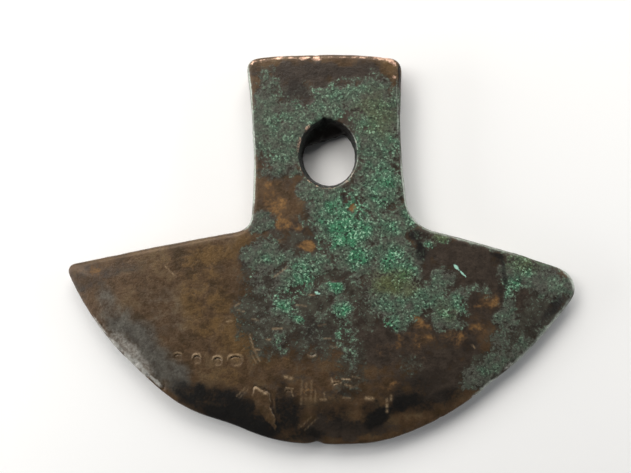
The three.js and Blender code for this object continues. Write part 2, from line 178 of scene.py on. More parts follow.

# The patina's patches, and those of painted light and shade, by pixel of the photograph: centre,
# half length, half width, turn, strength
patina = {
    # mineral crust, from the dark band at the left of the middle to the pale green of the tang
    "crust": [
        (300, 112, 24, 16, 0, 0.8), (290, 168, 30, 9, 8, 0.7), (372, 92, 26, 14, 0, 1),
        (268, 118, 42, 13, 90, 1), (284, 150, 18, 17, 0, 1), (290, 137, 30, 14, 90, 1),
        (322, 106, 18, 17, 0, 1), (330, 92, 9, 9, 0, 1), (352, 94, 23, 13, 0, 1),
        (378, 132, 46, 22, 90, 1), (380, 188, 36, 24, 90, 1), (332, 207, 26, 24, 0, 1),
        (309, 190, 12, 12, 0, 1), (264, 222, 14, 10, 0, 1), (350, 232, 32, 24, 0, 1),
        (396, 226, 30, 19, -25, 1), (360, 262, 24, 20, 0, 1), (394, 256, 20, 26, 0, 1),
        (264, 256, 18, 17, 0, 1), (285, 258, 14, 9, 0, 1), (291, 277, 24, 11, 25, 1),
        (314, 265, 20, 12, 15, 1), (283, 306, 15, 14, 0, 0.95), (297, 320, 12, 6, -10, 0.85),
        (262, 318, 10, 18, 0, 0.36), (280, 345, 10, 11, 0, 0.6), (334, 288, 13, 7, 0, 0.85),
        (343, 311, 10, 11, 0, 1), (312, 338, 20, 14, 0, 0.2), (322, 318, 10, 8, 0, 0.3),
        (306, 290, 14, 7, 0, 0.5), (350, 378, 9, 10, 0, 0.24), (362, 278, 8, 14, 0, 0.5),
        (272, 292, 10, 10, 0, 0.5), (346, 335, 11, 15, 0, 0.44), (351, 358, 8, 11, 0, 0.58),
        (258, 284, 10, 12, 0, 0.6), (396, 300, 29, 18, 0, 1), (392, 284, 25, 17, 0, 1),
        (398, 321, 12, 12, 30, 1), (436, 281, 14, 12, 0, 1), (410, 268, 9, 14, 0, 1),
        (430, 302, 33, 12, -10, 1), (458, 306, 12, 13, 0, 1), (446, 322, 19, 9, -15, 1),
        (428, 247, 6, 5, 0, 0.9), (440, 240, 9, 6, -20, 0.9), (480, 243, 32, 3.5, -17, 0.7),
        (519, 270, 16, 20, 0, 1), (511, 296, 7, 12, 0, 1), (506, 318, 11, 18, 0, 0.9),
        (547, 282, 25, 18, -25, 1), (300, 128, 14, 12, 0, 1), (500, 342, 10, 10, 0, 0.7),
        (492, 370, 24, 10, 34, 1), (540, 342, 16, 7, 50, 0.7), (520, 350, 16, 10, 40, 0.8),
        (476, 376, 14, 8, 30, 0.8), (478, 292, 14, 8, 0, 0.4),
    ],
    # where the skin shows between crusts
    "clearing": [
        (524, 303, 8, 17, -8, 1), (470, 336, 30, 12, 0, 0.9), (412, 336, 14, 12, 0, 0.9),
        (418, 232, 12, 9, 30, 0.8), (428, 268, 5, 18, 0, 0.8), (338, 278, 16, 4, 0, 0.7),
        (286, 228, 14, 6, 0, 0.8), (352, 206, 6, 7, 0, 1), (345, 195, 5, 5, 0, 0.7),
        (304, 246, 10, 6, 0, 0.9), (448, 297, 6, 5, 0, 0.6), (478, 303, 18, 10, 20, 0.7),
        (370, 127, 6, 4, 0, 0.6), (396, 206, 7, 5, 30, 0.6), (571, 275, 4, 3, -40, 0.9),
        (297, 92, 17, 12, -35, 1), (393, 88, 4, 10, 0, 0.8), (320, 241, 10, 6, 0, 0.8),
        (345, 83, 12, 5, 0, 0.8), (364, 281, 7, 9, 0, 0.6), (283, 270, 8, 4, 25, 0.5),
    ],
    # where the crust is bright malachite green
    "malachite": [
        (325, 125, 90, 66, 0, 0.3), (345, 240, 80, 70, 0, 0.3), (420, 300, 60, 34, 0, 0.3),
        (535, 290, 50, 46, 0, 0.22), (270, 105, 32, 15, 90, 0.22), (283, 156, 17, 13, 0, 0.34),
        (320, 103, 15, 13, 0, 0.34), (330, 88, 9, 7, 0, 0.38), (352, 92, 18, 11, 0, 0.4),
        (372, 120, 32, 22, 90, 0.38), (380, 150, 30, 20, 90, 0.45), (382, 185, 30, 20, 90, 0.65),
        (345, 213, 28, 24, 0, 0.78), (350, 230, 24, 18, 0, 0.95), (336, 240, 9, 8, 0, 1),
        (357, 223, 9, 9, -40, 1), (358, 260, 15, 15, 0, 0.85), (352, 256, 7, 5, 0, 1),
        (305, 268, 22, 12, 25, 0.6), (298, 284, 18, 10, 20, 0.75), (283, 305, 14, 13, 0, 0.68),
        (298, 320, 11, 5, -10, 0.7), (335, 288, 10, 6, 0, 0.85), (342, 311, 12, 8, 60, 0.85),
        (341, 332, 17, 13, -40, 0.4), (393, 262, 13, 15, 0, 0.75), (404, 275, 14, 8, 60, 0.8),
        (395, 303, 16, 10, 0, 0.6), (394, 323, 10, 9, 30, 0.75), (458, 304, 9, 11, 0, 0.6),
        (411, 268, 8, 13, 0, 0.75), (446, 315, 9, 8, 0, 0.6), (436, 282, 12, 10, 0, 0.4),
        (512, 282, 9, 14, 0, 0.66), (520, 262, 14, 12, 0, 0.5), (270, 257, 8, 7, 0, 0.5),
        (253, 276, 6, 6, 0, 0.55), (280, 345, 8, 11, 40, 0.45), (262, 222, 10, 7, 0, 0.15),
        (414, 217, 15, 9, -40, 0.5), (386, 226, 18, 14, 0, 0.5), (352, 352, 9, 12, 0, 0.35),
        (316, 196, 12, 9, 0, 0.5), (550, 275, 18, 13, -25, 0.2), (490, 366, 20, 11, 34, 0.22),
        (520, 345, 20, 12, 45, 0.2), (425, 300, 26, 9, -8, 0.45), (504, 318, 18, 10, 100, 0.2),
        (428, 247, 5, 4, 0, 0.5), (440, 240, 8, 5, -20, 0.45), (280, 258, 22, 18, 0, 0.2),
    ],
    # where the crust turns olive
    "olive": [
        (392, 284, 20, 13, 0, 1), (412, 290, 11, 8, 0, 0.7), (516, 258, 18, 12, 0, 0.6),
        (440, 240, 10, 7, 0, 0.8), (376, 116, 24, 20, 90, 0.35), (432, 377, 16, 7, 0, 0.8),
        (450, 312, 12, 8, 0, 0.3),
    ],
    # ochre and rust-coloured earth
    "rust": [
        (304, 247, 12, 7, -10, 1), (285, 219, 11, 10, 0, 0.9), (276, 205, 16, 12, 0, 0.65),
        (270, 187, 16, 17, 0, 0.6), (300, 172, 5, 12, 40, 0.6), (412, 322, 18, 9, -15, 0.85),
        (456, 336, 16, 13, 0, 0.54), (478, 331, 15, 12, 0, 0.5), (492, 303, 20, 9, 20, 0.6),
        (404, 346, 9, 6, 0, 0.5), (416, 340, 18, 12, 0, 0.55), (352.5, 206, 4.5, 4.5, 0, 1),
        (526, 302, 14, 8, 80, 0.4), (86, 276, 24, 12, 12, 0.5), (484, 314, 14, 9, 20, 0.5),
        (300, 222, 9, 7, 0, 0.5), (505, 358, 8, 5, 0, 0.9), (569, 277, 7, 5, -40, 0.35),
        (410, 362, 20, 9, 15, 0.4), (290, 362, 26, 10, 0, 0.45), (312, 390, 16, 12, 0, 0.5),
        (385, 385, 16, 7, 10, 0.5), (383, 352, 12, 9, 0, 0.3), (286, 240, 10, 5, 0, 0.5),
        (395, 428, 22, 6, 10, 0.35),
    ],
    # warm golden brown, where the patina is thin
    "gold": [
        (215, 255, 34, 10, 12, 0.9), (241, 250, 13, 15, 0, 0.8), (238, 336, 20, 22, 0, 1.2),
        (200, 285, 26, 14, 10, 0.35), (221, 303, 13, 14, 0, 0.8), (205, 326, 17, 10, 0, 0.75),
        (193, 303, 14, 12, 0, 0.7), (226, 325, 16, 10, 0, 0.6), (170, 262, 22, 8, 12, 0.4),
        (270, 360, 22, 8, 0, 0.5), (234, 375, 26, 8, 0, 0.3), (385, 74, 14, 14, 0, 0.6),
        (264, 420, 9, 14, 20, 0.3),
    ],
    # dark red-brown
    "cuprite": [
        (424, 236, 10, 10, 0, 1), (462, 256, 42, 15, -15, 1), (478, 276, 32, 16, -10, 1),
        (424, 262, 8, 16, 0, 0.9), (361, 302, 22, 10, 80, 1), (342, 277, 20, 6, 0, 0.9),
        (305, 304, 17, 9, 0, 0.7), (296, 88, 16, 12, -50, 1), (320, 71, 66, 11, 0, 1),
        (290, 231, 26, 7, -10, 0.9), (342, 200, 11, 8, 0, 0.9), (320, 240, 14, 9, 0, 0.6),
        (238, 398, 14, 5, -15, 0.6), (445, 385, 34, 14, 22, 0.8), (88, 277, 24, 12, 12, 0.34),
        (350, 428, 60, 10, 4, 0.9), (452, 350, 50, 22, 10, 0.45), (390, 345, 24, 16, 0, 0.6),
        (372, 372, 20, 18, 0, 0.5), (526, 300, 16, 10, 80, 0.4), (300, 335, 22, 12, 0, 0.6),
        (245, 268, 7, 9, 0, 0.6), (246, 300, 30, 8, 90, 0.5), (300, 300, 56, 58, 0, 1),
        (375, 330, 52, 44, 0, 1), (445, 300, 60, 56, 0, 0.9), (330, 262, 90, 34, 0, 0.8),
        (325, 130, 82, 60, 0, 0.8), (440, 366, 50, 30, 20, 0.9), (520, 300, 40, 60, 30, 0.9),
        (310, 215, 70, 16, 0, 0.4), (310, 384, 60, 14, 0, 0.4),
    ],
    # near black, heaviest along the bottom of the blade
    "soot": [
        (196, 396, 26, 11, -24, 1), (232, 408, 32, 16, -20, 1), (262, 424, 26, 13, -18, 1),
        (289, 416, 25, 14, 70, 0.95), (300, 434, 26, 8, -4, 0.8), (405, 402, 24, 12, 25, 1),
        (377, 415, 20, 11, 20, 0.95), (283, 391, 7, 10, 0, 0.7), (350, 392, 14, 10, 0, 0.5),
        (470, 345, 7, 6, 60, 0.4), (425, 405, 20, 8, 25, 0.7), (552, 309, 20, 6, 52, 0.8),
        (538, 330, 18, 8, 52, 0.5), (244, 285, 7, 26, 0, 0.4), (263, 300, 15, 40, 0, 0.35),
        (420, 300, 6, 8, 0, 0.6), (432, 294, 8, 5, 0, 0.6), (424, 255, 6, 10, 0, 0.6),
        (316, 335, 20, 18, 0, 0.62), (342, 333, 12, 14, 0, 0.42), (350, 376, 14, 14, 0, 0.6),
        (210, 350, 3, 8, 0, 0.4), (238, 424, 60, 14, -24, 1), (140, 275, 14, 5, 10, 0.3),
        (298, 92, 15, 12, -35, 0.6), (325, 70, 66, 9, 0, 0.25), (88, 277, 26, 14, 12, 0.36),
        (330, 410, 24, 14, 0, 0.7), (440, 400, 30, 10, 24, 0.6), (250, 418, 70, 18, -20, 0.8),
        (185, 398, 18, 8, -30, 0.9), (276, 406, 4, 12, 0, 0.9), (266, 158, 10, 10, 0, 0.62),
        (364, 282, 8, 11, 0, 0.6), (283, 270, 9, 4, 25, 0.6), (371, 404, 12, 8, 20, 0.8),
        (497, 339, 9, 9, 0, 0.6), (319, 240, 10, 6, 0, 0.6), (262, 224, 10, 8, 0, 0.62),
        (271, 76, 14, 8, 0, 0.34), (246, 272, 7, 12, 0, 0.6), (340, 424, 60, 12, 2, 0.5),
        (405, 390, 40, 14, 20, 0.5), (420, 240, 12, 8, 0, 0.5), (502, 280, 4, 20, 0, 0.5),
        (124, 268, 28, 8, 12, 0.55), (160, 330, 14, 10, 0, 0.2),
    ],
    # rosy metal laid bare on the butt's edge
    "rose": [
        (252.5, 62.8, 4.5, 1.6, 37, 0.9), (265, 59.8, 7, 1, 12, 0.4), (278, 57.8, 5, 1.4, 12, 1),
        (290, 57.4, 8, 1, 0, 0.35), (304, 57.8, 5, 1.3, 0, 1), (316.5, 58.3, 3.6, 2.4, 0, 1.2),
        (335, 57, 14, 0.9, 0, 0.3), (361, 56.6, 11, 1, 2, 0.5), (381, 58, 9, 1.8, -7, 1.1),
        (391.5, 61.4, 6, 2.2, -38, 1.1), (394.5, 77.5, 1.8, 1.3, 0, 0.9),
    ],
    # edges rubbed bright and silvery, painted lighter still as a highlight where they catch the light,
    # and a wide, dim painted sheen on the left bevel
    "polishAndHighlight": [
        (116, 344.5, 12, 2.2, -43, 0.9), (130, 359, 10, 3, -45, 1),
        (136.5, 363.5, 8, 4.4, -42, 1.2), (144.5, 372, 6, 3.2, -42, 1.1),
        (156, 381.5, 8, 2, -38, 1), (102, 329, 9, 1.4, -48, 0.7), (95.5, 319.5, 5, 1.4, -52, 0.6),
        (131, 352, 30, 8, -44, 0.5), (491, 383, 14, 1.8, 37, 0.7), (508, 366.5, 6, 1.4, 38, 0.6),
    ],
    # painted highlights: pale lines where the turns of the edges catch the light
    "paleEdge": [
        (250, 90, 40, 5, 90, 1), (254, 140, 34, 5, 87, 0.9), (255, 185, 36, 5, 90, 1),
        (250, 222, 10, 6, 60, 1), (470, 241, 52, 6, -17, 0.8), (405, 190, 36, 5, -80, 1),
        (413, 219, 10, 5, -45, 0.8), (566, 272, 10, 4, -40, 0.9), (571, 285, 7, 4, 90, 1),
        (564, 302, 14, 4, 62, 1), (552, 320, 14, 4, 54, 1), (539, 335, 12, 4, 50, 0.8),
        (519, 357, 24, 4, 45, 0.6), (486, 386, 18, 4, 38, 0.7),
    ],
    # a painted highlight along the ridge at the right of the tang
    "paintedRidgeHighlight": [
        (396.9, 84, 24, 0.9, 90, 0.4), (397.6, 124, 24, 1, 89, 0.5),
    ],
    # painted shade: a crisp black strip for the shaded right wall of the tang, and black borders,
    # notches and pits
    "grime": [
        (399.8, 79, 17, 1.7, 90, 1), (400.6, 113, 22, 1.3, 90, 0.6), (504, 273, 4, 18, 8, 0.9),
        (420, 251, 6, 11, 0, 1), (414, 235, 8, 6, 0, 0.9), (498, 256, 8, 4, -20, 0.8),
        (148.8, 376, 1.2, 2.4, 30, 1), (370, 170, 4, 4, 0, 0.8), (342, 197, 4, 5, 0, 0.7),
        (358, 202, 3, 6, 0, 0.6), (395, 250, 3, 3, 0, 0.8), (333, 209, 3, 3, 0, 0.5),
        (555, 307, 20, 5.5, 54, 0.8), (536, 331, 16, 5, 50, 0.5), (246, 408, 11, 13, -40, 0.9),
        (258, 424, 20, 8, -40, 0.9), (282, 410, 18, 8, 78, 0.85),
    ],
    # a thin dark film where the crust has gone
    "film": [
        (262, 312, 22, 46, 0, 1), (310, 322, 36, 34, 0, 0.9), (352, 366, 13, 28, 0, 1),
        (366, 292, 12, 32, 0, 1), (340, 262, 60, 24, 0, 0.8), (535, 322, 32, 18, 52, 1),
        (512, 342, 24, 14, 40, 1), (486, 366, 26, 12, 34, 0.9), (320, 240, 40, 12, 0, 0.6),
        (248, 270, 7, 9, 0, 0.9), (410, 366, 14, 9, 0, 0.5), (300, 96, 18, 16, 0, 0.4),
        (348, 290, 16, 12, 0, 1), (520, 356, 30, 10, 42, 1), (556, 322, 26, 12, 55, 1),
        (566, 298, 16, 12, 62, 1),
    ],
    # painted blue-grey sheen: a reflection on the bevel of the left edge, and a little on the right
    "bloom": [
        (140, 340, 46, 15, -42, 1), (112, 305, 24, 10, -52, 0.6), (170, 372, 24, 12, -34, 1),
        (165, 315, 34, 26, -35, 0.2), (486, 366, 18, 9, 30, 0.7), (548, 286, 24, 14, -20, 0.6),
        (176, 388, 14, 6, -30, 0.6), (470, 385, 20, 6, 30, 0.3),
    ],
}


# The camera's own directions: to the right, up the picture, and back from what it looks at.
def cameraAxes():
    backward = (Vector(camera["eye"]) - Vector(camera["aim"])).normalized()
    right = Vector((0, 1, 0)).cross(backward).normalized()
    return right, backward.cross(right), backward


# Pixels of the photograph for each millimetre of the front face.
def pixelsPerMm():
    away = (Vector(camera["eye"]) - Vector(camera["aim"])).length
    return camera["lens"] / camera["sensor"] * camera["photoSize"][0] / away


# Where the line of sight through a pixel of the photograph meets the front face: the line is
# followed to a level, and the level is set three times to the face's height at that place.
def planFromPhoto(px, py):
    right, upward, backward = cameraAxes()
    width, height = camera["photoSize"]
    pixel = camera["sensor"] / camera["lens"] / width
    sight = right * ((px - width / 2) * pixel) + upward * ((height / 2 - py) * pixel) - backward
    eye = Vector(camera["eye"])
    level = axeHead["tangThickness"]
    for _ in range(3):
        place = eye + sight * ((level - eye.z) / sight.z)
        fromArc = math.hypot(place.x - axeHead["arcCentre"][0], place.y - axeHead["arcCentre"][1])
        # above the arc's centre the face is clear of the bevel
        inset = max(axeHead["edgeReach"] - fromArc, 0) if place.y < axeHead["arcCentre"][1] else 50
        level = float(faceHeights(np.array(place.y), np.array(inset))[0])
    return place.x, place.y


# Rises from 0 at low to 1 at high as t*t*(3 - 2t).
def smoothStep(low, high, value):
    t = np.clip((value - low) / (high - low), 0, 1)
    return t * t * (3 - 2 * t)


# The lower of two heights, with the corner between them rounded over a width of k.
def softMin(a, b, k):
    t = np.clip(0.5 + 0.5 * (b - a) / k, 0, 1)
    return b + (a - b) * t - k * t * (1 - t)


# A smooth random field from 0 to 1: each corner of a square cell has its own seeded value, and
# between corners the field turns with t*t*(3 - 2t).
def valueNoise(x, y, cell, seed):
    size = 128
    corners = np.random.default_rng(seed).random((size, size))
    u, v = x / cell, y / cell
    column, row = np.floor(u).astype(int), np.floor(v).astype(int)
    across, up = smoothStep(0, 1, u - column), smoothStep(0, 1, v - row)
    left, right = column % size, (column + 1) % size
    low, high = row % size, (row + 1) % size
    bottom = corners[low, left] * (1 - across) + corners[low, right] * across
    top = corners[high, left] * (1 - across) + corners[high, right] * across
    return bottom * (1 - up) + top * up


# Four such noises added, each with cells half the size and half the strength of the last.
def fractalNoise(x, y, cell, seed):
    total, weight = 0, 0
    for octave in range(4):
        share = 0.5 ** octave
        total = total + share * valueNoise(x, y, cell * share, seed + octave)
        weight += share
    return total / weight


# Where a CAD node's triangles cross a level plane: each edge whose ends lie on both sides of the
# plane gives the point that divides it in the ratio of their heights.
def sliceNode(node, height):
    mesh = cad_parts[node].data
    corners = np.empty(len(mesh.vertices) * 3)
    mesh.vertices.foreach_get("co", corners)
    corners = corners.reshape(-1, 3) * 1000
    edges = np.empty(len(mesh.edges) * 2, int)
    mesh.edges.foreach_get("vertices", edges)
    start, end = corners[edges.reshape(-1, 2)].transpose(1, 0, 2)
    rise = (height - start[:, 2]), (end[:, 2] - height)
    crosses = rise[0] * rise[1] > 0
    share = (rise[0] / (rise[0] + rise[1] + 1e-12))[crosses, None]
    points = start[crosses] * (1 - share) + end[crosses] * share
    return np.unique(np.round(points[:, :2], 4), axis=0)


# Orders points by their angle round a centre, spaces them evenly along the closed line through
# them, and rounds that line off with a Gaussian of the given width.
def evenLoop(points, centre, count, softness):
    angle = np.arctan2(points[:, 1] - centre[1], points[:, 0] - centre[0])
    ring = points[np.argsort(angle)]
    closed = np.vstack((ring, ring[:1]))
    along = np.append(0, np.cumsum(np.linalg.norm(np.diff(closed, axis=0), axis=1)))
    at = np.arange(count) / count * along[-1]
    even = np.interp(at, along, closed[:, 0]) + 1j * np.interp(at, along, closed[:, 1])
    waves = np.fft.fftfreq(count, along[-1] / count)
    even = np.fft.ifft(np.fft.fft(even) * np.exp(-2 * (np.pi * waves * softness) ** 2))
    return np.column_stack((even.real, even.imag))


# The unit normals of a closed loop that runs counterclockwise, pointing out of it: the chord
# between a point's neighbours, turned a quarter clockwise.
def loopNormals(loop):
    chord = np.roll(loop, -1, 0) - np.roll(loop, 1, 0)
    chord /= np.linalg.norm(chord, axis=1)[:, None]
    return np.column_stack((chord[:, 1], -chord[:, 0]))


# For each point, the distance to the nearest point of a loop, and that point's index.
def nearestOf(points, loop):
    distance, index = np.empty(len(points)), np.empty(len(points), int)
    batch = 4000
    for first in range(0, len(points), batch):
        part = points[first:first + batch]
        square = ((part[:, None, :] - loop[None, :, :]) ** 2).sum(2)
        nearest = square.argmin(1)
        index[first:first + batch] = nearest
        distance[first:first + batch] = np.sqrt(square[np.arange(len(part)), nearest])
    return distance, index


# A field that is full inside each oval patch, where (u/a)^2 + (v/b)^2 is below 1 along its turned
# axes, and fades across its rim.
def patchField(x, y, patches, fade=0.6):
    field = np.zeros_like(x)
    for px, py, halfLength, halfWidth, turn, strength in patches:
        centreX, centreY = planFromPhoto(px, py)
        c, s = math.cos(math.radians(turn)), math.sin(math.radians(turn))
        u = ((x - centreX) * c + (y - centreY) * s) * pixelsPerMm() / halfLength
        v = ((y - centreY) * c - (x - centreX) * s) * pixelsPerMm() / halfWidth
        inside = 1 - smoothStep(1 - fade, 1 + fade, np.hypot(u, v))
        field = np.maximum(field, strength * inside)
    return field


# Moves places by a random field, so that what is drawn with them has ragged borders.
def ragged(x, y, reach, cell, seed):
    across = x + reach * (2 * fractalNoise(x, y, cell, seed) - 1)
    up = y + reach * (2 * fractalNoise(x, y, cell, seed + 10) - 1)
    return across, up


# Front and back heights at a distance in from the cutting edge. Half the blade's thickness grows
# from the lip with a power of that distance, and the flat faces cut it off.
def faceHeights(y, inset):
    head = axeHead
    half = head["lipThickness"] / 2
    half = half + head["bevelRise"] * (inset / head["bevelWidth"]) ** head["bevelRoundness"]
    below = head["arcCentre"][1] - head["neckDepth"] - y
    fall = head["faceFall"] * np.clip(below / (head["edgeReach"] - head["neckDepth"]), 0, None)
    soft = head["creaseSoftness"]
    front = softMin(head["tangThickness"] - fall, head["lipHeight"] + half, soft)
    back = -softMin(np.zeros_like(inset), half - head["lipHeight"], soft)
    return front, back


# A hump of height 1 at a place: exp(-t*t), with t the distance from it in half widths.
def hump(value, place, halfWidth):
    return np.exp(-((value - place) / halfWidth) ** 2)


# How far places on the plan lie from a pixel of the photograph, in its pixels.
def photoDistance(x, y, px, py):
    centreX, centreY = planFromPhoto(px, py)
    return np.hypot(x - centreX, y - centreY) * pixelsPerMm()


# How far places on the plan lie from the straight line between two pixels of the photograph, in
# its pixels, and the share of the line's length at its nearest point.
def lineDistance(x, y, fromX, fromY, toX, toY):
    startX, startY = planFromPhoto(fromX, fromY)
    endX, endY = planFromPhoto(toX, toY)
    alongX, alongY = endX - startX, endY - startY
    share = ((x - startX) * alongX + (y - startY) * alongY) / (alongX ** 2 + alongY ** 2)
    share = np.clip(share, 0, 1)
    away = np.hypot(x - startX - share * alongX, y - startY - share * alongY)
    return away * pixelsPerMm(), share


# The section across a punch mark, in millimetres outwards from its ring
punchSection = {
    "squareness": 2.4,  # the ring's power, which is 2 for an ellipse
    "groovePlace": -0.32,
    "grooveWidth": 0.2,
    "burrPlace": 0.14,
    "burrWidth": 0.15,
    "burrSpread": 0.2,  # how much wider it is at the top
    "burrShare": 0.6,  # its height, as a share of the mark's depth
    "floorShare": 0.4,
    "topTurn": (35, 75),  # degrees from the top where the groove starts to fade and ends
    "fadeTurn": (-15, 30),  # the same for the burr, from the mark's reach
}


# Half-round punch marks. Each has a ring where |x/a|^p + |y/b|^p is 1, with a groove inside its
# top, a burr outside it and a sunk floor. Gives heights, bared metal with a painted highlight on
# the lit burr, and painted shade in the groove.
def punchMarks(x, y):
    section, scale = punchSection, pixelsPerMm()
    power = section["squareness"]
    height, bare, dirtAndShade = np.zeros((3, len(x)))
    for px, py, halfWidth, halfHeight, reach, depth in marks["punches"]:
        centreX, centreY = planFromPhoto(px, py)
        across, up = (x - centreX) / halfWidth, (y - centreY) * np.sign(reach) / halfHeight
        ring = (np.abs(across) ** power + np.abs(up) ** power) ** (1 / power) * scale
        away = (ring - 1) * min(halfWidth, halfHeight) / scale
        turn = np.abs(np.degrees(np.arctan2(across, up)))
        fadeStart, fadeEnd = section["fadeTurn"]
        window = 1 - smoothStep(abs(reach) + fadeStart, abs(reach) + fadeEnd, turn)
        top = 1 - smoothStep(*section["topTurn"], turn)
        groove = top * hump(away, section["groovePlace"], section["grooveWidth"])
        burrWidth = section["burrWidth"] + section["burrSpread"] * top
        burr = hump(away, section["burrPlace"], burrWidth)
        floor = 1 - smoothStep(-0.4, 0, away)
        raised = window * (section["burrShare"] * burr - groove)
        height += depth * (raised - section["floorShare"] * floor)
        strength = np.clip(depth * 3.2, 0, 1)
        # painted highlight: the burr is bared metal, lighter towards the top where light falls on it,
        # and painted shade darkens the groove inside the top
        bare = np.maximum(bare, strength * ((0.3 + 0.5 * top) * burr * window + 0.12 * floor))
        dirtAndShade = np.maximum(dirtAndShade, strength * groove)
    return height, bare, dirtAndShade


# The lapped flake, from how far inside its ragged outline each place is. Gives heights, bared
# metal with a painted highlight on its free edges, painted shade just outside them, and how much
# of the flake covers each place.
def lappedFlake(x, y):
    corners = np.array([planFromPhoto(px, py) for px, py in marks["flake"]])
    middle = corners.mean(0)
    leaf = evenLoop(corners, middle, 240, 0.25)
    leafX, leafY = ragged(x, y, 1.0, 1.7, 71)
    places = np.column_stack((leafX, leafY))
    near = np.hypot(*(places - middle).T) < 12
    inside = np.full(len(x), -9.0)
    sign = np.where(insideLoop(places[near], leaf), 1, -1)
    inside[near] = nearestOf(places[near], leaf)[0] * sign
    # its top and right sides stand free, and its left side has sunk in
    free = smoothStep(-2.4, 0.6, (leafX - middle[0]) + 0.6 * (leafY - middle[1]))
    upper = smoothStep(0, 4, leafY - middle[1])
    wornAndLit = smoothStep(0.25, 0.6, fractalNoise(x, y, 1.3, 83)) * free
    height = marks["flakeHeight"] * free * smoothStep(-0.1, 0.35, inside)
    height -= 0.12 * free * hump(inside, -0.35, 0.25)
    # painted highlight on bared metal along the free edges, strongest at the top, and painted shade
    # just outside them
    bare = wornAndLit * (0.4 + 0.3 * upper) * hump(inside, 0.22, 0.15 + 0.28 * upper)
    dirtAndShade = 0.6 * free * hump(inside, -0.4, 0.35)
    flake = smoothStep(-0.15, 0.25, inside) * (0.55 + 0.45 * free)
    return height, bare, dirtAndShade, flake


# All the small marks on the front. Gives heights, how far metal is bared, with painted highlights
# on the burrs and the flake's edges, and how far places are darkened, in the pits and by painted
# shade in the grooves and beside the flake, each from 0 to 1, and how much of the lapped flake
# covers each place.
def frontMarks(x, y):
    height, bare, dirtAndShade = punchMarks(x, y)
    leafHeight, leafBareAndLit, leafShade, flake = lappedFlake(x, y)
    height = height + leafHeight
    bare, dirtAndShade = np.maximum(bare, leafBareAndLit), np.maximum(dirtAndShade, leafShade)
    for *ends, halfWidth, bright in marks["scratches"]:
        line = hump(lineDistance(x, y, *ends)[0], 0, 1.3 * halfWidth)
        height -= marks["scratchDepth"] * bright * line
        bare = np.maximum(bare, bright * line)
    for px, py, radius, depth in marks["pits"]:
        away = photoDistance(x, y, px, py)
        height -= depth * hump(away, 0, radius)
        dirtAndShade = np.maximum(dirtAndShade, 0.7 * hump(away, 0, 0.7 * radius))
    return height, bare, dirtAndShade, flake


# 1 on the pale splinters of mineral that lie on the crust: short lines that narrow to their ends.
def fleckField(x, y):
    field = np.zeros_like(x)
    for *ends, halfWidth in marks["flecks"]:
        away, share = lineDistance(x, y, *ends)
        width = halfWidth * (0.35 + 0.65 * np.sin(np.pi * np.clip(share + 0.15, 0, 1)))
        field = np.maximum(field, 1 - smoothStep(0.7, 1.3, away / width))
    return field


# How far the edge nicks eat into the surface: the sum of a round hump for each.
def nickDepth(x, y):
    return sum(depth * hump(photoDistance(x, y, px, py), 0, radius)
               for px, py, radius, depth in marks["nicks"])


# How ragged each kind's borders are: how far they wander, in millimetres, and how much they break
patinaBorders = {
    "crust": (2.4, 0.65),
    "malachite": (2.4, 0.55),
    "film": (2.4, 0.6),
    "soot": (2.2, 0.5),
    "bloom": (2.4, 0.4),
    "rose": (0.35, 0.4),
    "polishAndHighlight": (0.35, 0.15),
    "paleEdge": (0.35, 0.6),
    "paintedRidgeHighlight": (0.2, 0.3),
    "grime": (0.4, 0.4),
    "other": (2.4, 0.9),
}


# Each kind of patina, and of painted light and shade, over the plan: its patches with ragged
# borders, broken by a noise, and the crust taken away where the clearings lie.
def patinaFields(x, y):
    fields = {}
    for order, (kind, patches) in enumerate(patina.items()):
        reach, breaking = patinaBorders.get(kind, patinaBorders["other"])
        wideX, wideY = ragged(x, y, reach, 7.0 if reach > 1 else 2.5, 5 + 31 * order)
        broken = fractalNoise(x, y, 3.2, 400 + 31 * order) - 0.5
        spread = patchField(wideX, wideY, patches)
        fields[kind] = np.clip(spread + breaking * broken * smoothStep(0, 0.3, spread), 0, 1.2)
    fields["crust"] *= 1 - np.clip(fields.pop("clearing"), 0, 1)
    return fields


# A level triangular lattice of points, row by row, each second row half a step along.
def lattice(low, high, spacing):
    rowStep = spacing * math.sqrt(3) / 2
    columns = np.arange(low[0], high[0], spacing)
    rows = np.arange(low[1], high[1], rowStep)
    x = columns[None, :] + spacing / 2 * (np.arange(len(rows)) % 2)[:, None]
    y = np.broadcast_to(rows[:, None], x.shape)
    return np.column_stack((x.ravel(), y.ravel()))


# Delaunay triangles of a face between its outer loop and its hole. Points that aren't on either
# loop lie inside, so only a triangle with all its corners on the loops can lie outside.
def faceTriangles(outer, hole, inner):
    points = np.vstack((outer, hole, inner))
    countOuter, countHole = len(outer), len(hole)
    ring = np.arange(countOuter)
    innerRing = np.arange(countHole) + countOuter
    edges = np.vstack((np.column_stack((ring, np.roll(ring, -1))),
                       np.column_stack((innerRing, np.roll(innerRing, -1)))))
    found = delaunay_2d_cdt([Vector(p) for p in points.tolist()], edges.tolist(), [], 0, 1e-7, False)
    if len(found[0]) != len(points):
        raise ValueError("the face's points aren't all apart: %d of %d" % (len(found[0]), len(points)))
    triangles = np.array(found[2])
    onLoops = (triangles < countOuter + countHole).all(1)
    middle = points[triangles].mean(1)
    keep = ~onLoops
    keep[onLoops] = insideLoop(middle[onLoops], outer) & ~insideLoop(middle[onLoops], hole)
    return triangles[keep]


# Whether points lie inside a closed loop: a ray along +X from each crosses the loop an odd number
# of times.
def insideLoop(points, loop):
    start, end = loop, np.roll(loop, -1, 0)
    x, y = points[:, 0, None], points[:, 1, None]
    spans = (start[None, :, 1] > y) != (end[None, :, 1] > y)
    slope = (end[:, 0] - start[:, 0]) / (end[:, 1] - start[:, 1] + 1e-12)
    crossing = start[None, :, 0] + (y - start[None, :, 1]) * slope[None, :]
    return (spans & (x < crossing)).sum(1) % 2 == 1


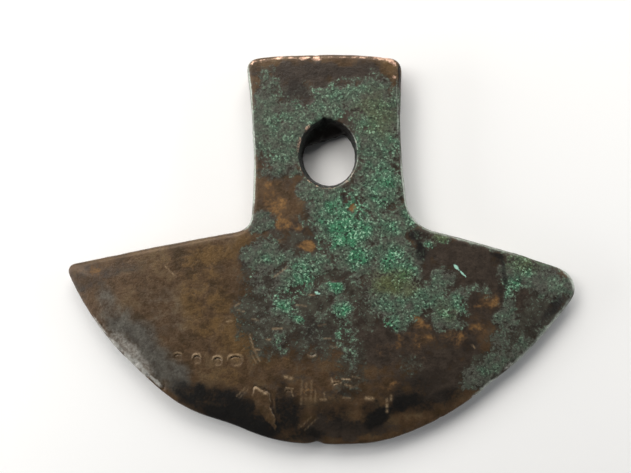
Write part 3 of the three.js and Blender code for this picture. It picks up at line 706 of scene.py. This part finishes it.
# Two triangles for each cell of a grid of rows whose columns close on themselves.
def stripTriangles(rows):
    near, far = rows[:-1], rows[1:]
    nearNext, farNext = np.roll(near, -1, 1), np.roll(far, -1, 1)
    first = np.stack((near, nearNext, farNext), -1).reshape(-1, 3)
    second = np.stack((near, farNext, far), -1).reshape(-1, 3)
    return np.vstack((first, second))


# The hole's wall as rows of points from the front mouth to the back one. Each row is an oval whose
# middle and half sizes turn from the front's to the back's, cut off by the ledge at the top, and
# the mouths are rounded over.
def holeWall():
    hole = lashingHole
    turn = np.radians(90) * np.linspace(0, 1, hole["roundingRows"])
    rounding = hole["rimRounding"]
    flare = np.concatenate((rounding * (1 - np.sin(turn)), np.zeros(hole["rows"]),
                            rounding * (1 - np.cos(turn))))
    drop = rounding * (1 - np.cos(turn))
    top = axeHead["tangThickness"]
    straight = np.linspace(top - rounding, rounding, hole["rows"] + 2)[1:-1]
    height = np.concatenate((top - drop, straight, rounding * (1 - np.sin(turn))))
    angle = 2 * np.pi * np.arange(hole["count"]) / hole["count"]
    degrees = np.degrees(angle)
    flare, height = flare[:, None], height[:, None]
    depth = (top - height) / top

    # from the front's value to the back's
    def between(front, back):
        return front + (back - front) * depth

    halfX, halfY = map(between, hole["frontHalf"], hole["backHalf"])
    middleX, middleY = map(between, hole["frontCentre"], hole["backCentre"])
    x, y = (halfX + flare) * np.cos(angle), (halfY + flare) * np.sin(angle)
    ledgeTurn = math.radians(hole["ledgeTurn"])
    facing = x * math.cos(ledgeTurn) + y * math.sin(ledgeTurn)
    sunk = smoothStep(0.05, 0.75, depth)
    ledge = hole["ledgeFront"] + (hole["ledgeBack"] - hole["ledgeFront"]) * sunk + flare
    over = facing - softMin(facing, ledge + 0 * facing, hole["ledgeSoftness"])
    x, y = x - over * math.cos(ledgeTurn), y - over * math.sin(ledgeTurn)

    # the wall is roughest at the top, and two notches break the front mouth there
    length = degrees * hole["wallPerDegree"]
    rough = fractalNoise(length + 0 * depth, height + 0 * angle, 1.6, 31) - 0.5
    push = rough * (0.25 + 0.9 * hump(degrees, 105, 45)) * smoothStep(0, 0.15, depth)
    notch = sum(share * hump(degrees, at, halfWidth) for at, halfWidth, share in hole["notches"])
    notch = hole["notchDepth"] * notch * (1 - smoothStep(0.05, 0.4, depth))
    grow = 1 + (notch - push) / np.hypot(x, y)
    x = x * grow + middleX + axeHead["arcCentre"][0]
    y = y * grow + middleY + axeHead["arcCentre"][1]
    return np.stack((x, y, height + 0 * x), -1)


# The rough skin, in millimetres: the size of each unevenness and its height
skin = {
    "swell": (15, 0.34),
    "dents": (4.5, 0.10),
    "grain": (1.3, 0.06),
    "crust": 0.06,
    "crustGrain": 0.30,
    "rimShare": 0.75,  # how much of it the rim and the hole get
    "waver": (7, 0.22),  # of the outline
    "nickBite": 0.6,  # how far a nick bites into the outline, as a share of its depth
    "lipWidth": 0.95,  # of the part of the cutting edge where a painted highlight lies
}


# Moves the smooth surface's points along their directions, by the skin's unevenness and the marks,
# and gives each kind of patina, and of painted light and shade, there. The rim and the hole are
# the points before rimEnd.
def weatherSurface(base, direction, rimEnd, tubeIds, cutting):
    x, y, z = base.T
    faceUp = np.clip(direction[:, 2], 0, 1)
    faceDown = np.clip(-direction[:, 2], 0, 1)
    sideways = 1 - faceUp - faceDown
    fields = patinaFields(x, y)

    # the hidden back has random patches of each kind, painted sheen and shade among them
    planX, planY = ragged(x, y, 2.5, 8.0, 91)
    crustUnder = 0.9 * smoothStep(0.5, 0.62, fractalNoise(planX, planY, 16, 61))
    under = {"crust": crustUnder, "malachite": 0.45 * crustUnder}
    for kind in ("rust", "gold", "cuprite", "soot", "bloom", "olive", "film", "grime"):
        patches = fractalNoise(planX, planY, 13, 200 + len(kind) * 7)
        under[kind] = 0.7 * smoothStep(0.54, 0.7, patches)
    for kind, values in under.items():
        fields[kind] = fields[kind] * (1 - faceDown) + values * faceDown

    (swellSize, swellHeight), (dentSize, dentHeight) = skin["swell"], skin["dents"]
    grainSize, grainHeight = skin["grain"]
    swell = fractalNoise(x, y, swellSize, 23) - 0.5
    dents = valueNoise(x + 0.5 * z, y - 0.5 * z, dentSize, 41) - 0.5
    grain = fractalNoise(x + 0.7 * z, y - 0.6 * z, grainSize, 17)
    crustHere = smoothStep(0.35, 0.75, fields["crust"] + 0.5 * (grain - 0.5))
    height = swellHeight * swell + dentHeight * dents + grainHeight * (grain - 0.5)
    crystals = skin["crustGrain"] * (grain - 0.35) * (0.5 + fields["malachite"])
    height += crustHere * (skin["crust"] + crystals)
    marked, bare, dirtAndShade, flake = frontMarks(x, y)
    height += marked * faceUp - nickDepth(x, y) * (faceUp + 0.4 * sideways)
    height[:rimEnd] *= skin["rimShare"]
    moved = base + direction * height[:, None]
    moved[:, 2] = np.maximum(moved[:, 2], 0)
    # the near black gives way on the flake, and takes in the darkened pits and the painted shade of
    # the grooves and the flake's edges
    fields["soot"] = np.maximum(fields["soot"] * (1 - 0.75 * flake * faceUp), 0.9 * dirtAndShade * faceUp)

    # a value on some rows of the hole, and 0 elsewhere
    def onRows(rows, value):
        values = np.zeros(len(base))
        values[tubeIds[rows].ravel()] = value
        return values

    # rubbed edges and painted edge highlights: at the photograph's places in front, and rubbed copper
    # here and there on the turns behind
    turned = np.sin(np.pi * np.clip(faceUp + faceDown, 0, 1)) ** 2
    turned[tubeIds[0, 0]:] = 0
    wornNoise = smoothStep(0.5, 0.7, fractalNoise(x, y, 3.5, 77))
    behind = turned * (faceDown > 0) * wornNoise
    # the walls below a rubbed turn or a painted highlight keep only a little of its brightness
    rubbedAndLit = (1 - faceDown) * (0.2 + 0.8 * smoothStep(0.02, 0.24, faceUp))
    fields["rose"] = np.clip(fields["rose"] * rubbedAndLit + 0.5 * behind, 0, 1)
    fields["rose"] = np.maximum(fields["rose"], onRows(slice(0, 5), 0.5) * wornNoise)
    fields["polishAndHighlight"] = fields["polishAndHighlight"] * rubbedAndLit
    # painted highlights keep to the turns of the edges and the cutting edge's lip
    lip = hump(nearestOf(base[:, :2], cutting)[0], 0, skin["lipWidth"])
    fields["paleEdge"] = fields["paleEdge"] * np.maximum(np.sqrt(turned), lip) * rubbedAndLit
    ridge = fields.pop("paintedRidgeHighlight") * (1 - faceDown)
    fields["paleEdge"] = np.maximum(fields["paleEdge"], ridge)

    # the front mouth's worn arcs and the painted highlights on its lit rim
    centreX, centreY = np.add(axeHead["arcCentre"], lashingHole["frontCentre"])
    rimTurn = np.degrees(np.arctan2(y - centreY, x - centreX))
    wornAndLit = onRows(slice(1, 3), 1) * smoothStep(0.25, 0.6, fractalNoise(x, y, 1.8, 97))
    for kind, start, full, fading, end, strength in lashingHole["wornAndLitArcs"]:
        arc = smoothStep(start, full, rimTurn) * (1 - smoothStep(fading, end, rimTurn))
        fields[kind] = np.maximum(fields[kind], strength * wornAndLit * arc)

    # painted shade: the crisp black strips join the near black, except where the flake lies over them
    grime = fields.pop("grime") * (1 - 0.8 * flake * faceUp)
    fields["soot"] = np.maximum(fields["soot"], grime)
    fields["fleck"] = fleckField(x, y) * faceUp
    fields["bare"] = np.clip(bare * faceUp, 0, 1)
    # painted shade: the hole's wall past the first rows of its front mouth is darkened
    fields["bore"] = onRows(slice(3, None), 1)
    return moved, fields


# The whole head as one closed surface. Its rim is rows of points that follow the outline, each
# drawn in by r(1 - cos t) and dropped by r(1 - sin t) for a turn t from the wall to the face, its
# faces are lattices, and its hole is a tube between them.
def makeAxeHead():
    head = axeHead
    section = sliceNode("axe_head", head["lipHeight"])
    arcCentre = np.array(head["arcCentre"])
    holeCentre = arcCentre + np.array(lashingHole["frontCentre"])
    outer = section[np.linalg.norm(section - holeCentre, axis=1) > lashingHole["reach"]]
    count = head["outlineCount"]
    # from 30 mm below the arc's centre every point of the outline is in sight
    outline = evenLoop(outer, arcCentre - (0, 30), count, head["outlineSoftness"])
    normals = loopNormals(outline)
    nick = nickDepth(outline[:, 0], outline[:, 1])
    waverLength, waverReach = skin["waver"]
    waver = waverReach * (fractalNoise(outline[:, 0], outline[:, 1], waverLength, 3) - 0.5)
    outline = outline + normals * (waver - skin["nickBite"] * nick)[:, None]
    normals = loopNormals(outline)
    fromArc = outline - arcCentre
    cutting = outline[np.hypot(*fromArc.T) > head["cuttingReach"]]
    print("outline: %d points, %d on the cutting edge" % (count, len(cutting)))

    inset = nearestOf(outline, cutting)[0]
    front, back = faceHeights(outline[:, 1], inset)
    rounding = np.minimum(head["edgeRounding"], head["edgeRoundingShare"] * (front - back))

    # rim rows of one face, from the wall to the face
    def rimRows(frontSide):
        rows, directions = [], []
        for degrees in head["edgeTurns"]:
            turn = math.radians(degrees)
            plan = outline - normals * (rounding * (1 - math.cos(turn)))[:, None]
            rowInset = nearestOf(plan, cutting)[0]
            heights = faceHeights(plan[:, 1], rowInset)
            drop = rounding * (1 - math.sin(turn))
            level = heights[0] - drop if frontSide else heights[1] + drop
            sign = 1 if frontSide else -1
            rows.append(np.column_stack((plan, level)))
            upward = np.full((count, 1), sign * math.sin(turn))
            directions.append(np.hstack((normals * math.cos(turn), upward)))
        return np.array(rows), np.array(directions)

    frontRim, frontDirections = rimRows(True)
    backRim, backDirections = rimRows(False)
    share = np.linspace(0, 1, head["wallRows"] + 2)[1:-1, None, None]
    wall = frontRim[0] * (1 - share) + backRim[0] * share
    thick = np.clip((front - back - 2) / 7, 0, 1)[None, :, None]
    bulge = head["wallBulge"] * np.sin(np.pi * share) * thick
    wall[..., :2] += normals * bulge
    wallDirections = np.broadcast_to(np.hstack((normals, np.zeros((count, 1)))), wall.shape)
    tube = holeWall()
    print("rim and hole: %d rim rows, %d hole rows" % (2 * len(frontRim) + len(wall), len(tube)))

    # lattice points of one face that stand clear of the rim and the hole
    def facePoints(rim, mouth, spacing, spots):
        low, high = outline.min(0), outline.max(0)
        points = lattice(low, high, spacing)
        if spots:
            fine = lattice(low, high, head["markSpacing"])
            points = np.vstack((points[spotField(points) < 0.5], fine[spotField(fine) >= 0.5]))
        distance, index = nearestOf(points, outline)
        toward = ((points - outline[index]) * normals[index]).sum(1)
        clear = (toward < 0) & (distance > rounding[index] + 0.6 * spacing)
        points = points[clear]
        clear = nearestOf(points, mouth)[0] > 0.6 * spacing
        return points[clear & ~insideLoop(points, mouth)]

    # 1 close to the small marks, where the lattice is finer
    def spotField(points):
        near = np.zeros(len(points), bool)
        spots = [(px, py, halfWidth + 3.5) for px, py, halfWidth, _, _, depth in marks["punches"]
                 if depth > 0.12]
        spots += [(px, py, 4) for px, py in marks["flake"]] + [(460, 271, 9)]
        for px, py, radius in spots:
            near |= photoDistance(*points.T, px, py) < radius
        return near

    frontPoints = facePoints(frontRim[-1], tube[0, :, :2], head["frontSpacing"], True)
    backPoints = facePoints(backRim[-1], tube[-1, :, :2], head["backSpacing"], False)
    print("face lattices: %d front, %d back points" % (len(frontPoints), len(backPoints)))

    frontInset = nearestOf(frontPoints, cutting)[0]
    backInset = nearestOf(backPoints, cutting)[0]
    frontLevel = faceHeights(frontPoints[:, 1], frontInset)[0]
    backLevel = faceHeights(backPoints[:, 1], backInset)[1]

    blocks = [frontRim, wall, backRim, tube,
              np.column_stack((frontPoints, frontLevel)), np.column_stack((backPoints, backLevel))]
    tubeOut = tube - np.append(tube[..., :2].mean((0, 1)), 0)
    tubeOut[..., 2] = 0
    tubeOut /= -np.linalg.norm(tubeOut, axis=-1, keepdims=True)
    tubeOut[0], tubeOut[-1] = (0, 0, 1), (0, 0, -1)
    directions = [frontDirections, wallDirections, backDirections, tubeOut,
                  np.tile((0.0, 0.0, 1.0), (len(frontPoints), 1)),
                  np.tile((0.0, 0.0, -1.0), (len(backPoints), 1))]
    sizes = [block.size // 3 for block in blocks]
    firsts = np.append(0, np.cumsum(sizes))
    base = np.vstack([block.reshape(-1, 3) for block in blocks])
    direction = np.vstack([block.reshape(-1, 3) for block in directions])

    frontIds = firsts[0] + np.arange(sizes[0]).reshape(-1, count)
    wallIds = firsts[1] + np.arange(sizes[1]).reshape(-1, count)
    backIds = firsts[2] + np.arange(sizes[2]).reshape(-1, count)
    tubeIds = firsts[3] + np.arange(sizes[3]).reshape(-1, lashingHole["count"])
    girdle = np.vstack((frontIds[::-1], wallIds, backIds))
    frontLocal = faceTriangles(frontRim[-1, :, :2], tube[0, :, :2], frontPoints)
    backLocal = faceTriangles(backRim[-1, :, :2], tube[-1, :, :2], backPoints)
    frontGlobal = np.concatenate((frontIds[-1], tubeIds[0], firsts[4] + np.arange(sizes[4])))
    backGlobal = np.concatenate((backIds[-1], tubeIds[-1], firsts[5] + np.arange(sizes[5])))
    triangles = np.vstack((stripTriangles(girdle), stripTriangles(tubeIds),
                           frontGlobal[frontLocal], backGlobal[backLocal]))
    print("surface: %d points, %d triangles" % (len(base), len(triangles)))

    moved, fields = weatherSurface(base, direction, firsts[4], tubeIds, cutting)
    return moved, triangles, fields


# Puts points, triangles and point fields into a new mesh object, in metres and smooth shaded.
def meshObject(name, points, triangles, fields):
    mesh = bpy.data.meshes.new(name)
    mesh.from_pydata((points / 1000).tolist(), [], triangles.tolist())
    for kind, values in fields.items():
        layer = mesh.attributes.new(kind, "FLOAT", "POINT")
        layer.data.foreach_set("value", np.ascontiguousarray(values, dtype=np.float32))
    mesh.polygons.foreach_set("use_smooth", np.ones(len(triangles), bool))
    whole = bmesh.new()
    whole.from_mesh(mesh)
    bmesh.ops.recalc_face_normals(whole, faces=whole.faces)
    whole.to_mesh(mesh)
    whole.free()
    made = bpy.data.objects.new(name, mesh)
    bpy.context.scene.collection.objects.link(made)
    return made


# Turns an sRGB hex colour to linear red, green, blue and alpha.
def linear(hexColour):
    parts = [int(hexColour[i:i + 2], 16) / 255 for i in (1, 3, 5)]
    return [p / 12.92 if p <= 0.04045 else ((p + 0.055) / 1.055) ** 2.4 for p in parts] + [1]


# Adds a shader node. Inputs are values or other nodes' outputs, in the order of its sockets or by
# name or number. Stops are a colour ramp's places and colours, and the rest are its own settings.
def addNode(tree, kind, inputs, stops=(), **settings):
    made = tree.nodes.new("ShaderNode" + kind)
    for name, value in settings.items():
        setattr(made, name, value)
    for socket, value in inputs.items() if isinstance(inputs, dict) else enumerate(inputs):
        if isinstance(value, bpy.types.NodeSocket):
            tree.links.new(value, made.inputs[socket])
        else:
            made.inputs[socket].default_value = value
    while stops and len(made.color_ramp.elements) < len(stops):
        made.color_ramp.elements.new(0.5)
    for order, (place, colour) in enumerate(stops):
        made.color_ramp.elements[order].position = place
        made.color_ramp.elements[order].color = linear(colour)
    return made


# Patina on cast and hammered bronze. The casting's skin is a thin, warm brown oxide with a low
# satin gloss. Ground minerals stand on it as a dull, gritty green crust, and rubbed edges show
# rosy or silvery metal. Light and shade are painted into it as well: a blue-grey sheen on the
# bevels, highlights on edges, burrs and crystals, and shade in the hole, the grooves and on the
# right wall of the tang.
bronzeLook = {
    # each pattern's size in millimetres, and its noise's detail and roughness. The grain, which is
    # also the size of the crust's crystals, is drawn a little coarse so that it shows.
    "patterns": {
        "grain": (0.42, 2, 0.6),
        "speck": (0.8, 3, 0.6),
        "mottle": (2.6, 5, 0.62),
        "cloud": (9.0, 4, 0.55),
    },
    "brown": [(0.15, "#423321"), (0.5, "#533f2b"), (0.85, "#604d35")],
    "skinRoughness": (0.38, 0.56),
    "skinMetallic": 0.25,
    # kind, colours of its darker and lighter parts, roughness, metallic, where its border starts
    # and ends, and how far the mottle breaks it
    "layers": [
        ("gold", "#58442b", "#6d5434", 0.42, 0.35, 0.1, 0.9, 0.4),
        # painted sheen: a lighter blue-grey reflection on the bevels
        ("bloom", "#4a4640", "#635f56", 0.38, 0.35, 0.0, 1.1, 0.25),
        ("cuprite", "#2c241d", "#41372e", 0.46, 0.15, 0.15, 0.8, 0.45),
        # near black, which also takes in painted shade
        ("soot", "#070605", "#110e0a", 0.5, 0.05, 0.05, 1.0, 0.3),
    ],
    "layerSpeck": 0.2,
    "rustColours": ("#402c16", "#775730"),
    "rustFinish": (0.7, 0.05),  # roughness and metallic
    "filmColours": ("#2f2922", "#464439"),
    # kind, where it starts and has thinned the film, and how much of the film stays
    "filmCleared": [("rust", 0.35, 0.85, 0.0), ("soot", 0.2, 0.9, 0.1)],
    "dustColour": "#748a78",
    "dustShare": 0.4,
    "crustColours": [(0.05, "#46473d"), (0.35, "#434f40"), (0.62, "#3f5845"), (0.95, "#336b4b")],
    "crustFinish": (0.7, 0.0),
    "oliveColour": "#494d29",
    "oliveShare": 0.75,
    "crumbColour": "#14170f",
    # the pale crystals, painted lighter to stand for glints
    "crystalAndGlintColour": "#a0c4a6",
    # painted shade inside the hole
    "boreColour": "#0c0a09",
    "boreShare": 0.85,
    # kind, colours of its darker and lighter parts, where its border starts and ends, how far the
    # mottle and the specks break it, and how much the specks mix its colours
    # rubbed copper on the butt, silvery polish painted brighter as a highlight, and painted pale
    # highlights on the turns of the edges
    "rubbedAndLit": [
        ("rose", "#87624f", "#e0bba2", 0.1, 0.9, 0.2, 0.5, 1.0),
        ("polishAndHighlight", "#86837b", "#cfccc3", 0.05, 1.1, 0.1, 0.15, 0.4),
        ("paleEdge", "#7c8176", "#b4bbb0", 0.15, 0.9, 0.2, 0.1, 0.4),
    ],
    "rubbedAndLitFinish": (0.42, 0.45),
    # bared metal of scratches, also the painted highlight on lit burrs and flake edges
    "bareAndLitColour": "#a58d6e",
    "fleckColour": "#a8d8c4",
    "bumpStrength": 0.8,
    "bumpMm": 0.12,
    "specularLevel": 0.35,
}


# The skin's brown comes from the mottle. Each kind of patina, and the painted sheen, shade and
# highlights, lies over it where its field of the mesh, broken by the patterns, reaches its border,
# and crystals stand out of the crust.
def patinatedCastBronze(kinds):
    look = bronzeLook
    material = bpy.data.materials.new("patinatedCastBronze")
    material.use_nodes = True
    tree = material.node_tree
    tree.nodes.clear()
    smooth = {"interpolation_type": "SMOOTHSTEP"}
    times, plus = {"operation": "MULTIPLY"}, {"operation": "ADD"}
    timesPlus = {"operation": "MULTIPLY_ADD"}
    blend = {"data_type": "RGBA", "output": 2}
    shade = {**blend, "blend_type": "MULTIPLY"}

    # a node's output
    def add(kind, inputs=(), output=0, **settings):
        return addNode(tree, kind, inputs, **settings).outputs[output]

    place = add("TexCoord", output="Object")
    field = {name: add("Attribute", output="Fac", attribute_name=name) for name in kinds}
    pattern = {}
    for name, (sizeMm, detail, roughness) in look["patterns"].items():
        noise = add("TexNoise", {"Vector": place, "Scale": 1000 / sizeMm, "Detail": detail,
                                 "Roughness": roughness})
        pattern[name] = add("MapRange", (noise, 0.3, 0.7), **smooth)
    grain, speck, mottle, cloud = pattern.values()
    perMetre = 1000 / look["patterns"]["grain"][0]
    crystals = addNode(tree, "TexVoronoi", {"Vector": place, "Scale": perMetre}, feature="F1")
    lot = add("SeparateColor", (crystals.outputs["Color"],))

    # where a field passes its border: the field plus the patterns, each about its middle
    def border(name, low, high, mottled, specked):
        broken = add("Math", (mottle, mottled, field[name]), **timesPlus)
        broken = add("Math", (speck, specked, broken), **timesPlus)
        middle = (mottled + specked) / 2
        present = add("MapRange", (field[name], 0.02, 0.2), **smooth)
        return add("MapRange", (broken, low + middle, high + middle, 0, present), **smooth)

    # lays a colour, roughness and metallic over those below, as far as a share says
    def cover(below, share, above):
        colour = add("Mix", {0: share, 6: below[0], 7: above[0]}, **blend)
        return [colour] + [add("Mix", {0: share, 2: below[i], 3: above[i]}) for i in (1, 2)]

    # the crystals that are picked by their lot, and then by the specks
    def picked(lotLow, lotHigh, speckLow, speckHigh):
        chosen = add("MapRange", (lot, lotLow, lotHigh), **smooth)
        return add("MapRange", (speck, speckLow, speckHigh, 0, chosen), **smooth)

    skinTone = add("Math", (mottle, 0.4, add("Math", (cloud, 0.6), **times)), **timesPlus)
    least, most = look["skinRoughness"]
    finish = [add("ValToRGB", (skinTone,), stops=look["brown"]),
              add("Mix", {0: mottle, 2: least, 3: most}), look["skinMetallic"]]
    for name, dark, light, roughness, metallic, low, high, mottled in look["layers"]:
        tone = add("Mix", {0: mottle, 6: linear(dark), 7: linear(light)}, **blend)
        share = border(name, low, high, mottled, look["layerSpeck"])
        finish = cover(finish, share, (tone, roughness, metallic))

    # the skin's own fine grain of darker and lighter specks
    speckShade = add("MapRange", (speck, 0, 1, 0.9, 1.1), **smooth)
    grainShade = add("MapRange", (grain, 0, 1, -0.07, 0.07), **smooth)
    skinShade = add("Math", (speckShade, grainShade), **plus)
    finish[0] = add("Mix", {0: 1.0, 6: finish[0], 7: skinShade}, **shade)

    # rust, which is ripest in the middle of its patches
    middle = add("MapRange", (field["rust"], 0.4, 1.0), **smooth)
    ripeness = add("Math", (mottle, 0.28), **plus)
    ripeness = add("Math", (middle, ripeness), use_clamp=True, **times)
    dark, light = map(linear, look["rustColours"])
    earth = add("Mix", {0: ripeness, 6: dark, 7: light}, **blend)
    earthShade = add("MapRange", (speck, 0, 1, 0.75, 1.25), **smooth)
    earth = add("Mix", {0: 1.0, 6: earth, 7: earthShade}, **shade)
    finish = cover(finish, border("rust", 0.25, 0.95, 0.5, 0.25), (earth, *look["rustFinish"]))

    # the thin, dark film under and around the crust, with grains of dust on it
    film = (border("crust", 0.05, 0.4, 0.3, 0.2), border("film", 0.15, 0.8, 0.6, 0.5))
    film = add("Math", film, operation="MAXIMUM")
    for name, low, high, kept in look["filmCleared"]:
        cleared = add("MapRange", (field[name], low, high, 1, kept), **smooth)
        film = add("Math", (film, cleared), **times)
    dark, light = map(linear, look["filmColours"])
    filmTone = add("Mix", {0: mottle, 6: dark, 7: light}, **blend)
    finish[0] = add("Mix", {0: film, 6: finish[0], 7: filmTone}, **blend)
    dust = add("Math", (film, look["dustShare"]), **times)
    dust = add("Math", (picked(0.72, 0.95, 0.45, 0.85), dust), **times)
    finish[0] = add("Mix", {0: dust, 6: finish[0], 7: linear(look["dustColour"])}, **blend)

    # the crust takes its colour from how green it is, and has lighter and darker grains, dark
    # crumbs and pale crystals, which are painted lighter to stand for glints
    # the crust fades under the near black and its painted shade
    murky = add("MapRange", (field["soot"], 0.45, 1.0, 1.0, 0.15), **smooth)
    crust = add("Math", (border("crust", 0.32, 0.62, 0.65, 0.6), murky), **times)
    greenness = add("Math", (mottle, 0.4, field["malachite"]), **timesPlus)
    greenness = add("Math", (greenness, -0.2), **plus)
    tone = add("ValToRGB", (greenness,), stops=look["crustColours"])
    olive = add("Math", (field["olive"], look["oliveShare"]), **times)
    tone = add("Mix", {0: olive, 6: tone, 7: linear(look["oliveColour"])}, **blend)
    lotShade = add("MapRange", (lot, 0, 1, 0.6, 1.4), **smooth)
    speckShade = add("MapRange", (speck, 0, 1, 0.66, 1.34), **smooth)
    grains = add("Math", (lotShade, speckShade), **times)
    lively = add("MapRange", (greenness, 0.1, 0.6, 0.5, 1.0), **smooth)
    grains = add("Mix", {0: lively, 2: 1.0, 3: grains})
    tone = add("Mix", {0: 1.0, 6: tone, 7: grains}, **shade)
    crumb = add("Math", (greenness, 0.7, 0.3), **timesPlus)
    crumb = add("Math", (picked(0.4, 0.1, 0.6, 0.3), crumb), use_clamp=True, **times)
    tone = add("Mix", {0: crumb, 6: tone, 7: linear(look["crumbColour"])}, **blend)
    crystalAndGlint = add("Math", (greenness, 1.2), operation="POWER")
    crystalAndGlint = add("Math", (picked(0.6, 0.95, 0.4, 0.85), crystalAndGlint), use_clamp=True, **times)
    tone = add("Mix", {0: crystalAndGlint, 6: tone, 7: linear(look["crystalAndGlintColour"])}, **blend)
    finish = cover(finish, crust, (tone, *look["crustFinish"]))

    # painted shade darkens the hole's wall
    bore = add("Math", (field["bore"], look["boreShare"]), **times)
    finish[0] = add("Mix", {0: bore, 6: finish[0], 7: linear(look["boreColour"])}, **blend)
    # rubbed metal, with painted highlights on polished edges and the turns of the edges
    for name, dark, light, low, high, mottled, specked, mixing in look["rubbedAndLit"]:
        tone = add("Math", (speck, mixing, 0.5 * (1 - mixing)), **timesPlus)
        tone = add("Mix", {0: tone, 6: linear(dark), 7: linear(light)}, **blend)
        share = border(name, low, high, mottled, specked)
        finish = cover(finish, share, (tone, *look["rubbedAndLitFinish"]))
    # bared metal, with painted highlights where burrs and the flake's edges are lit
    bare = add("MapRange", (speck, 0.05, 0.6, 0.35, 0.9), **smooth)
    bare = add("Math", (field["bare"], bare), **times)
    for share, name in ((bare, "bareAndLitColour"), (field["fleck"], "fleckColour")):
        finish[0] = add("Mix", {0: share, 6: finish[0], 7: linear(look[name])}, **blend)

    # crystals stand up to 0.12 mm out of the crust, and the bare skin is finely pitted
    facets = add("Math", (1.0, crystals.outputs["Distance"]), operation="SUBTRACT")
    facets = add("Math", (facets, crust), **times)
    rough = add("Math", (facets, 0.6, add("Math", (speck, 0.4), **times)), **timesPlus)
    bump = add("Bump", {"Height": rough, "Strength": look["bumpStrength"],
                        "Distance": look["bumpMm"] / 1000})
    colour, roughness, metallic = finish
    shader = add("BsdfPrincipled", {"Base Color": colour, "Roughness": roughness,
                                    "Metallic": metallic, "Normal": bump,
                                    "Specular IOR Level": look["specularLevel"]})
    addNode(tree, "OutputMaterial", {"Surface": shader})
    return material


# The floor, in metres
paleBoard = {
    "reach": 1.5,
    "level": -0.0002,  # just under the head's back
    "colour": "#f4f3f1",
    "roughness": 0.9,
}


# A level square of matt painted board, whose roughness leaves it no gloss.
def paleFloor():
    reach, level = paleBoard["reach"], paleBoard["level"]
    corners = [(x, y, level) for x, y in ((-reach, -reach), (reach, -reach), (reach, reach),
                                          (-reach, reach))]
    mesh = bpy.data.meshes.new("floor")
    mesh.from_pydata(corners, [], [(0, 1, 2, 3)])
    material = bpy.data.materials.new("matPaintedBoard")
    material.use_nodes = True
    shader = material.node_tree.nodes["Principled BSDF"]
    shader.inputs["Base Color"].default_value = linear(paleBoard["colour"])
    shader.inputs["Roughness"].default_value = paleBoard["roughness"]
    mesh.materials.append(material)
    floor = bpy.data.objects.new("floor", mesh)
    bpy.context.scene.collection.objects.link(floor)


# Lights, in millimetres
studio = {
    "worldColour": "#e9edf2",
    "worldStrength": 0.06,
    # name, place, size, power in watts, colour
    "lights": [
        ("topSoftbox", (-60, 560, 420), (700, 400), 5.0, "#fffdfa"),
        ("highSoftbox", (-420, 240, 520), (360, 360), 2.2, "#fffdfa"),
        ("leftSoftbox", (-430, -20, 110), (360, 150), 1.3, "#f8fbff"),
        ("rightSoftbox", (440, 20, 120), (360, 150), 1.0, "#f8fbff"),
    ],
}


# The camera at its place, turned so that its axes are the columns of its matrix.
def makeCamera():
    made = bpy.data.objects.new("camera", bpy.data.cameras.new("camera"))
    bpy.context.scene.collection.objects.link(made)
    made.data.lens = camera["lens"]
    made.data.sensor_width = camera["sensor"]
    turn = Matrix(cameraAxes()).transposed().to_4x4()
    made.matrix_world = Matrix.Translation(Vector(camera["eye"]) / 1000) @ turn
    bpy.context.scene.camera = made


# A dim, even world and soft rectangular lamps that face the middle of the head.
def makeLights():
    world = bpy.data.worlds.new("studio")
    bpy.context.scene.world = world
    world.use_nodes = True
    background = world.node_tree.nodes["Background"]
    background.inputs["Color"].default_value = linear(studio["worldColour"])
    background.inputs["Strength"].default_value = studio["worldStrength"]
    for name, place, size, power, colour in studio["lights"]:
        lamp = bpy.data.lights.new(name, "AREA")
        lamp.shape = "RECTANGLE"
        lamp.size, lamp.size_y = size[0] / 1000, size[1] / 1000
        lamp.energy = power
        lamp.color = linear(colour)[:3]
        made = bpy.data.objects.new(name, lamp)
        bpy.context.scene.collection.objects.link(made)
        where = Vector(place) / 1000
        made.location = where
        made.rotation_euler = (-where).to_track_quat("-Z", "Y").to_euler()


makeCamera()
makeLights()
paleFloor()
print("studio ready")

points, triangles, fields = makeAxeHead()
casting = meshObject("axe_head_casting", points, triangles, fields)
casting.data.materials.append(patinatedCastBronze(fields))
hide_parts("axe_head")
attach(casting, "root")
print("axe head ready: %d triangles" % len(casting.data.polygons))

bpy.context.scene.view_settings.view_transform = "Standard"
